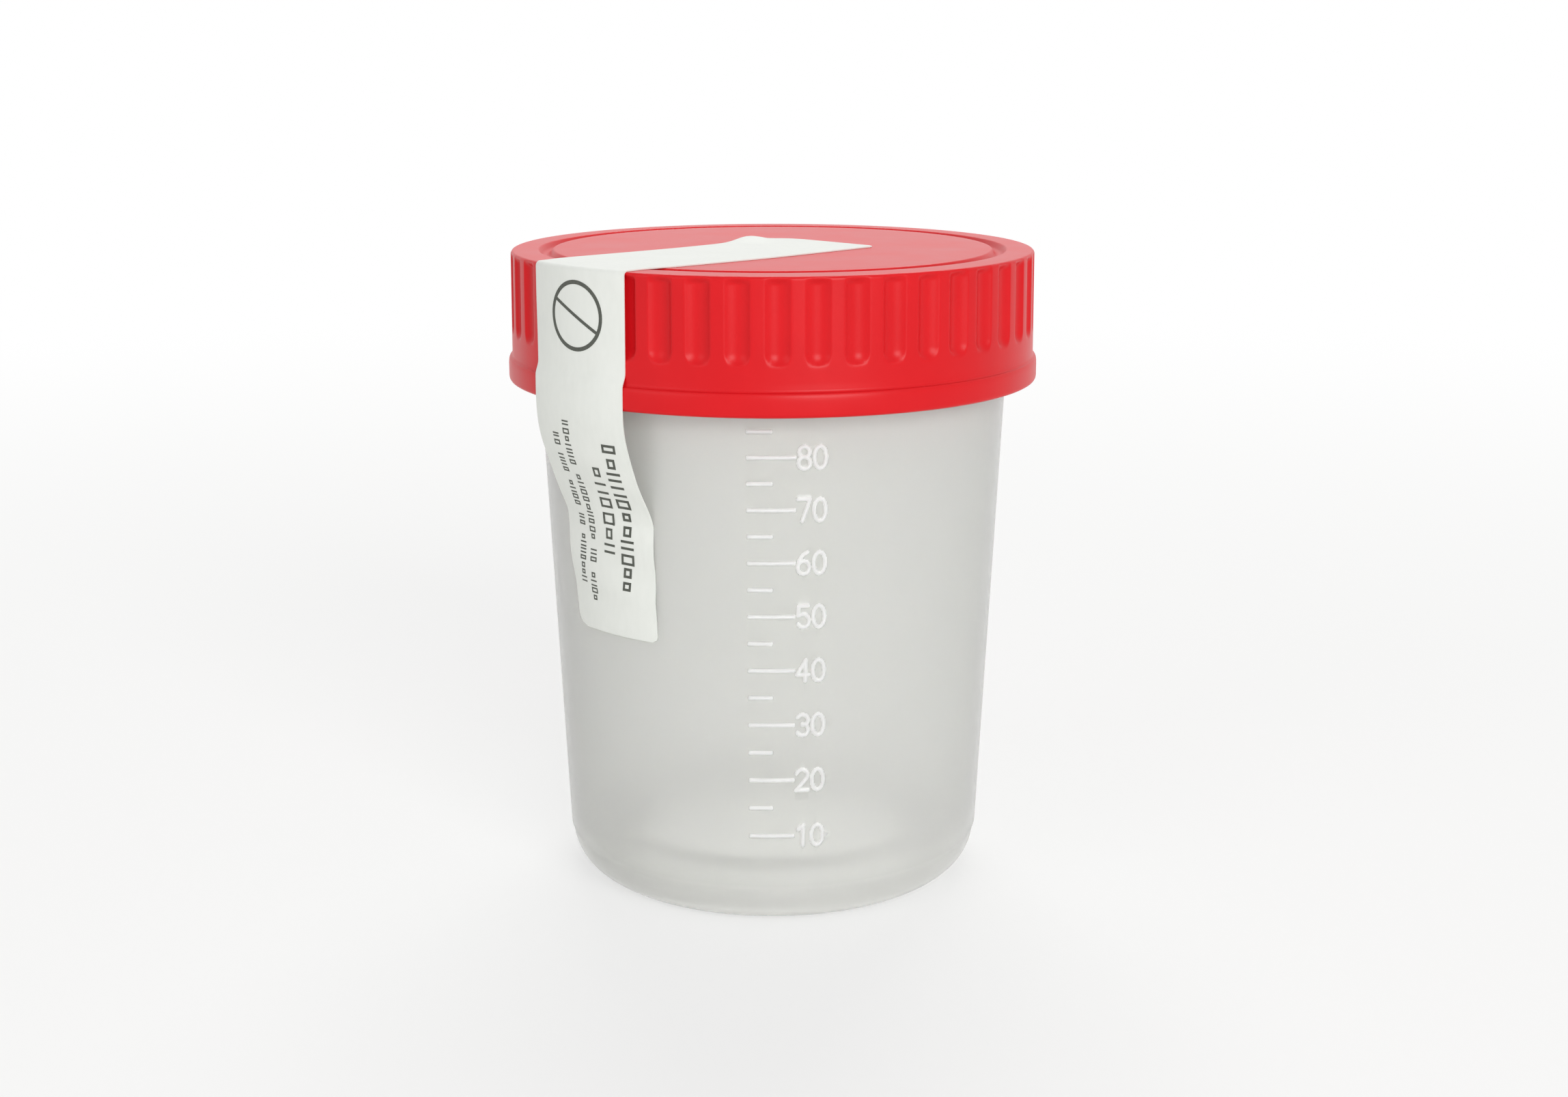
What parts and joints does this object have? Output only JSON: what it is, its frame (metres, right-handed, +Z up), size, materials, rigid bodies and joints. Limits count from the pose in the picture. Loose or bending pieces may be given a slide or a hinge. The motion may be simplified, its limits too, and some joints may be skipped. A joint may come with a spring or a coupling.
{
  "type": "specimen container",
  "caption": "Translucent graduated laboratory specimen container with a fluted red screw cap, a sealing liner and a paper tamper seal over cap and wall",
  "frame": {"origin": "centre of the ring that the cup stands on, on the surface", "axes": "+Z up along the container's axis; -Y is the front, where the volume scale is; +X is to the right seen from the front"},
  "size_m": [0.0578, 0.0578, 0.0703],
  "materials": {
    "cup": "natural translucent polypropylene, satin",
    "cap": "satin-gloss red moulded polyethylene",
    "liner": "soft white foamed polyethylene",
    "seal_paper": "matt white paper"
  },
  "bodies": {
    "cup": {"cup": "cup", "cup_seal": "seal_paper"},
    "liner": {"cap_liner": "liner"},
    "cap": {"cap": "cap", "cap_seal": "seal_paper"}
  },
  "joints": [
    {"name": "cap_lift", "type": "slide", "parent": "cup", "child": "liner", "axis": [0, 0, 1], "range_m": [0, 0.015]},
    {"name": "cap_turn", "type": "hinge", "parent": "liner", "child": "cap", "pos_m": [0, 0, 0.0687], "axis": [0, 0, 1], "range_deg": [0, 1080]}
  ],
  "couplings": [
    {"joint": "cap_lift", "follows": "cap_turn", "m_per_rad": 0.00079577}
  ]
}
